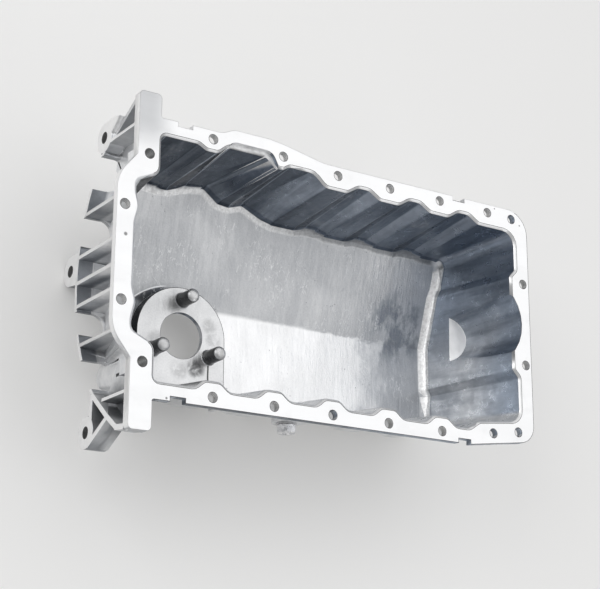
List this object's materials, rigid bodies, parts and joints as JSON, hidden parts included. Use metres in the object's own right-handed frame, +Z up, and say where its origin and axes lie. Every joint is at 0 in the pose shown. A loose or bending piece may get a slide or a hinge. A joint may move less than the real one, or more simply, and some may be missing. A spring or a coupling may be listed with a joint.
{
  "type": "engine oil pan",
  "caption": "Cast aluminium engine sump: deep ribbed trough with a machined bolt rail, gearbox flange with ears, sensor seat and a drain plug.",
  "frame": {"origin": "middle of the pan's outline, on the level of its lowest point", "axes": "+X away from the gearbox along the crankshaft, +Z up out of the open side, +Y away from the drain plug"},
  "size_m": [0.4454, 0.2964, 0.138],
  "materials": {
    "cast_aluminium": "as cast, machined on the rail and gearbox face",
    "plated_steel": "zinc plated",
    "soft_aluminium": "plain"
  },
  "bodies": {
    "pan": {"oil_pan": "cast_aluminium"},
    "seal_carrier": {"drain_plug_seal": "soft_aluminium"},
    "plug": {"drain_plug": "plated_steel"}
  },
  "joints": [
    {"name": "plug_travel", "type": "slide", "parent": "pan", "child": "seal_carrier", "axis": [0, -1, 0], "range_m": [0, 0.0137]},
    {"name": "plug_turn", "type": "hinge", "parent": "seal_carrier", "child": "plug", "pos_m": [0.00975, -0.09609, 0.035], "axis": [0, -1, 0], "range_deg": [0, 3240]}
  ],
  "couplings": [
    {"joint": "plug_travel", "follows": "plug_turn", "m_per_rad": 0.00023873}
  ]
}
